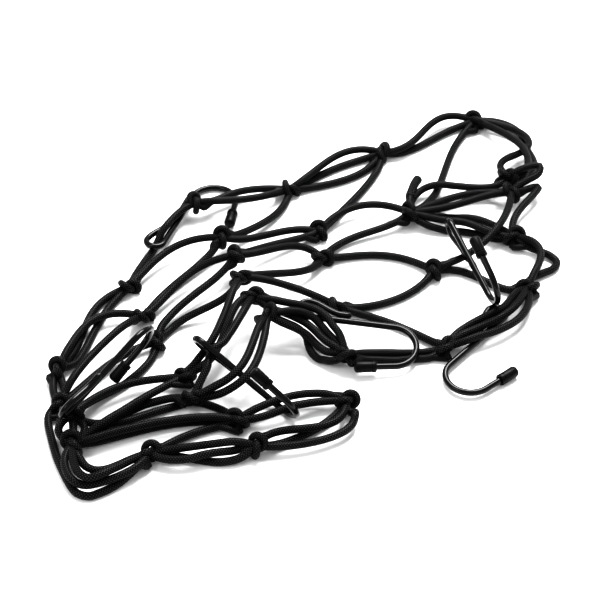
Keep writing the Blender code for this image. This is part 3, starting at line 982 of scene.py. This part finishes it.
@dataclass
class Nodes:
    """Small helper that adds and links shader nodes in one tree."""

    tree: NodeTree

    def feed(self, node: Node, inputs: dict) -> None:
        """Give a node's inputs their values.

        Args:
            node: The node.
            inputs: For each input, by name or number, a constant or the output to link it to.
        """
        for name, value in inputs.items():
            if isinstance(value, NodeSocket):
                self.tree.links.new(value, node.inputs[name])
            else:
                node.inputs[name].default_value = value

    def add(self, kind: str, inputs: dict | None = None, **settings: object) -> Node:
        """Add a node.

        Args:
            kind: Its type.
            inputs: What its inputs are fed with.
            settings: Its properties.

        Returns:
            The node.
        """
        node = self.tree.nodes.new(kind)
        for key, value in settings.items():
            setattr(node, key, value)
        self.feed(node, inputs or {})
        return node

    def math(self, operation: str, *values: object) -> NodeSocket:
        """Output of a Math node with these numbers or sockets for its inputs."""
        return self.add("ShaderNodeMath", dict(enumerate(values)), operation=operation).outputs[0]

    def span(self, value: NodeSocket, low: float, high: float) -> NodeSocket:
        """Value from 0 to 1 spread from low to high."""
        inputs = {"Value": value, "To Min": low, "To Max": high}
        return self.add("ShaderNodeMapRange", inputs).outputs["Result"]


def braid_group() -> NodeTree:
    """Build the plaited sheath of a cord: strands that cross over and under each other.

    Returns:
        The group, with the map, the number of strands and their lay as inputs, and height and cover out.
    """
    roundness, dip, crest = 0.6, 0.62, 1.5
    tree = bpy.data.node_groups.new("Plaited sheath", "ShaderNodeTree")
    tree.interface.new_socket("Map", in_out="INPUT", socket_type="NodeSocketVector")
    for name in ("Strands", "Lay"):
        tree.interface.new_socket(name, in_out="INPUT", socket_type="NodeSocketFloat")
    for name in ("Height", "Cover"):
        tree.interface.new_socket(name, in_out="OUTPUT", socket_type="NodeSocketFloat")
    nodes = Nodes(tree)
    start = nodes.add("NodeGroupInput").outputs
    split = nodes.add("ShaderNodeSeparateXYZ", {0: start["Map"]}).outputs
    around = nodes.math("MULTIPLY", split[0], start["Strands"])
    along = nodes.math("MULTIPLY", split[1], start["Lay"])
    right, left = nodes.math("ADD", around, along), nodes.math("SUBTRACT", around, along)
    # The strands change places from cell to cell, so every second cell has the other one on top.
    cells = nodes.math("ADD", nodes.math("FLOOR", right), nodes.math("FLOOR", left))
    over = nodes.math("GREATER_THAN", nodes.math("FRACT", nodes.math("MULTIPLY", cells, 0.5)), 0.25)
    arcs = []
    for value in (right, left):
        arcs.append(nodes.math("SINE", nodes.math("MULTIPLY", nodes.math("FRACT", value), math.pi)))
    tops = []
    for across, length in (arcs, arcs[::-1]):
        round_top = nodes.math("POWER", across, roundness)
        tops.append(nodes.math("MULTIPLY", round_top, nodes.span(length, dip, 1.0)))
    under = nodes.math("SUBTRACT", 1.0, over)
    height = nodes.math("ADD", nodes.math("MULTIPLY", tops[0], over), nodes.math("MULTIPLY", tops[1], under))
    nodes.add("NodeGroupOutput", {"Height": height, "Cover": nodes.math("POWER", height, crest)})
    return tree


def handling_group() -> NodeTree:
    """Build the faint unevenness that handling leaves on a surface.

    Returns:
        The group, with a place and a scale as inputs and a mask out.
    """
    detail = 4.0
    tree = bpy.data.node_groups.new("Handling marks", "ShaderNodeTree")
    tree.interface.new_socket("Place", in_out="INPUT", socket_type="NodeSocketVector")
    tree.interface.new_socket("Scale", in_out="INPUT", socket_type="NodeSocketFloat")
    tree.interface.new_socket("Mask", in_out="OUTPUT", socket_type="NodeSocketFloat")
    nodes = Nodes(tree)
    start = nodes.add("NodeGroupInput").outputs
    inputs = {"Vector": start["Place"], "Scale": start["Scale"], "Detail": detail}
    noise = nodes.add("ShaderNodeTexNoise", inputs)
    nodes.add("NodeGroupOutput", {"Mask": noise.outputs["Fac"]})
    return tree


@dataclass(frozen=True)
class Finish:
    """A finish: its dark and light colours, its range of roughness, its gloss, and its bump in metres."""

    name: str
    dark: Color
    light: Color
    smooth: float
    rough: float
    specular: float
    coat: float
    bump: float
    coat_roughness: float = 0.2
    marks_scale: float = 220.0

    def start(self) -> tuple[Material, Nodes, Node]:
        """Make the material with the values that are the same all over it.

        Returns:
            The material, its nodes and its Principled shader.
        """
        material = bpy.data.materials.new(self.name)
        material.use_nodes = True
        nodes, shader = Nodes(material.node_tree), material.node_tree.nodes["Principled BSDF"]
        nodes.feed(shader, {
            "Specular IOR Level": self.specular,
            "Coat Weight": self.coat,
            "Coat Roughness": self.coat_roughness,
        })
        return material, nodes, shader

    def marks(self, nodes: Nodes, handling: NodeTree) -> NodeSocket:
        """Mask of the marks of handling."""
        inputs = {"Place": nodes.add("ShaderNodeTexCoord").outputs["Object"], "Scale": self.marks_scale}
        return nodes.add("ShaderNodeGroup", inputs, node_tree=handling).outputs["Mask"]

    def paint(self, nodes: Nodes, shader: Node, mask: NodeSocket,
              wear: NodeSocket, height: NodeSocket) -> None:
        """Join masks to the shader.

        Args:
            nodes: The material's nodes.
            shader: Its Principled shader.
            mask: From the dark colour, 0, to the light one, 1.
            wear: From smooth, 0, to rough, 1.
            height: The bump's height.
        """
        colors = {"Factor": mask, "A": (*self.dark, 1.0), "B": (*self.light, 1.0)}
        mix = nodes.add("ShaderNodeMix", colors, data_type="RGBA")
        bump = nodes.add("ShaderNodeBump", {"Distance": self.bump, "Height": height})
        nodes.feed(shader, {
            "Base Color": mix.outputs["Result"],
            "Roughness": nodes.span(wear, self.smooth, self.rough),
            "Normal": bump.outputs["Normal"],
        })


@dataclass(frozen=True)
class BraidedCord(Finish):
    """Black plaited sheath over elastic, with a painted highlight in the light colour on the crests of its
    raised strands, which are also smoother than the rest.
    """

    strands: float = 7.0
    lay: float = 9.0
    marks_scale: float = 90.0
    # How narrowly the painted highlight keeps to the crests of the strands.
    crest: float = 7.0
    # How faint and how strong the marks of handling make the painted highlight from place to place.
    fewest_marks: float = 0.5
    most_marks: float = 1.5
    dull: float = 1.15
    shine: float = 0.8

    def material(self, braid: NodeTree, handling: NodeTree) -> Material:
        """Make the cord's material.

        Args:
            braid: The group that draws the sheath's plait.
            handling: The group that draws the marks of handling.

        Returns:
            The material.
        """
        material, nodes, shader = self.start()
        chart = nodes.add("ShaderNodeTexCoord").outputs["UV"]
        inputs = {"Map": chart, "Strands": self.strands, "Lay": self.lay}
        plait = nodes.add("ShaderNodeGroup", inputs, node_tree=braid)
        marks, cover = self.marks(nodes, handling), plait.outputs["Cover"]
        # The light colour on the strand crests is a painted highlight, its strength varied by the marks of
        # handling.
        tops = nodes.math("POWER", cover, self.crest)
        mask = nodes.math("MULTIPLY", tops, nodes.span(marks, self.fewest_marks, self.most_marks))
        wear = nodes.math("SUBTRACT", self.dull, nodes.math("MULTIPLY", cover, self.shine))
        self.paint(nodes, shader, mask, wear, plait.outputs["Height"])
        return material


@dataclass(frozen=True)
class SmoothBlack(Finish):
    """A smooth black finish with faint marks, for coated wire and moulded rubber."""

    def material(self, handling: NodeTree) -> Material:
        """Make the material.

        Args:
            handling: The group that draws the marks of handling.

        Returns:
            The material.
        """
        material, nodes, shader = self.start()
        marks = self.marks(nodes, handling)
        self.paint(nodes, shader, marks, marks, marks)
        return material


# The cord's light colour is a painted highlight, laid on the crests of the strands.
CORD = BraidedCord(
    name="Black plaited cord", dark=(0.0001, 0.0001, 0.0001), light=(0.07, 0.07, 0.072),
    smooth=0.2, rough=0.6, specular=0.06, coat=0.06, bump=0.0007,
)
WIRE = SmoothBlack(
    name="Black coated wire", dark=(0.001, 0.001, 0.001), light=(0.003, 0.003, 0.003),
    smooth=0.12, rough=0.22, specular=0.22, coat=0.0, bump=0.00002,
)
SLEEVE = SmoothBlack(
    name="Black rubber", dark=(0.001, 0.001, 0.001), light=(0.004, 0.004, 0.004),
    smooth=0.3, rough=0.5, specular=0.12, coat=0.0, bump=0.00004,
)


class Lamp(NamedTuple):
    """A soft square light that faces the net: its place and width in metres, and its power in watts."""

    name: str
    place: tuple[float, float, float]
    width: float
    power: float


LAMPS = (
    Lamp("overhead behind", (0.25, 1.0, 1.7), 1.1, 75.0),
    Lamp("front fill", (-1.2, -0.7, 1.5), 0.8, 8.0),
)


@dataclass
class Studio:
    """Camera, soft lights and pale floor, in metres and degrees, with the lens in mm."""

    elevation: float = 43.0
    distance: float = 1.3
    lens: float = 120.0
    sight: float = 20.0
    floor_half: float = 6.0
    floor_color: Color = (0.93, 0.93, 0.93)
    floor_roughness: float = 0.9
    floor_specular: float = 0.1
    room_light: float = 0.7

    def camera(self) -> None:
        """Set up the camera at the front, looking down on the net."""
        data = bpy.data.cameras.new("camera")
        data.lens = self.lens
        data.clip_end = self.sight
        camera = bpy.data.objects.new("camera", data)
        bpy.context.scene.collection.objects.link(camera)
        tilt = math.radians(self.elevation)
        aim = Vector(to_model(np.zeros(3)))
        camera.location = aim + self.distance * Vector((0.0, -math.cos(tilt), math.sin(tilt)))
        camera.rotation_euler = (math.radians(90) - tilt, 0.0, 0.0)
        bpy.context.scene.camera = camera

    def light(self, lamp: Lamp) -> None:
        """Add a lamp.

        Args:
            lamp: Which one.
        """
        data = bpy.data.lights.new(lamp.name, "AREA")
        data.shape = "SQUARE"
        data.size = lamp.width
        data.energy = lamp.power
        light = bpy.data.objects.new(lamp.name, data)
        light.location = lamp.place
        light.rotation_euler = (-Vector(lamp.place)).to_track_quat("-Z", "Y").to_euler()
        bpy.context.scene.collection.objects.link(light)

    def floor(self) -> None:
        """Lay a wide pale floor."""
        shape = bmesh.new()
        bmesh.ops.create_grid(shape, x_segments=1, y_segments=1, size=self.floor_half)
        mesh = bpy.data.meshes.new("floor")
        shape.to_mesh(mesh)
        shape.free()
        paint = bpy.data.materials.new("Pale floor")
        paint.use_nodes = True
        Nodes(paint.node_tree).feed(paint.node_tree.nodes["Principled BSDF"], {
            "Base Color": (*self.floor_color, 1.0),
            "Roughness": self.floor_roughness,
            "Specular IOR Level": self.floor_specular,
        })
        mesh.materials.append(paint)
        floor = bpy.data.objects.new("floor", mesh)
        bpy.context.scene.collection.objects.link(floor)

    def world(self) -> None:
        """Fill the room with even white light, and set the view's contrast."""
        world = bpy.data.worlds.new("studio")
        world.use_nodes = True
        white = (1.0, 1.0, 1.0, 1.0)
        background = world.node_tree.nodes["Background"]
        Nodes(world.node_tree).feed(background, {"Color": white, "Strength": self.room_light})
        bpy.context.scene.world = world
        bpy.context.scene.view_settings.view_transform = "Standard"
        bpy.context.scene.view_settings.look = "High Contrast"

    def build(self) -> None:
        """Set up all of it."""
        self.camera()
        self.world()
        self.floor()
        for lamp in LAMPS:
            self.light(lamp)


def main() -> None:
    """Build the whole scene in order."""
    logging.basicConfig(level=logging.INFO, format="%(message)s")
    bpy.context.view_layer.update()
    Studio().build()
    braid, handling = braid_group(), handling_group()
    layout = NetLayout()
    CordNet(layout, CORD.material(braid, handling)).build()
    WireHooks(layout.hook, WIRE.material(handling), SLEEVE.material(handling)).build()


if __name__ == "__main__":
    main()
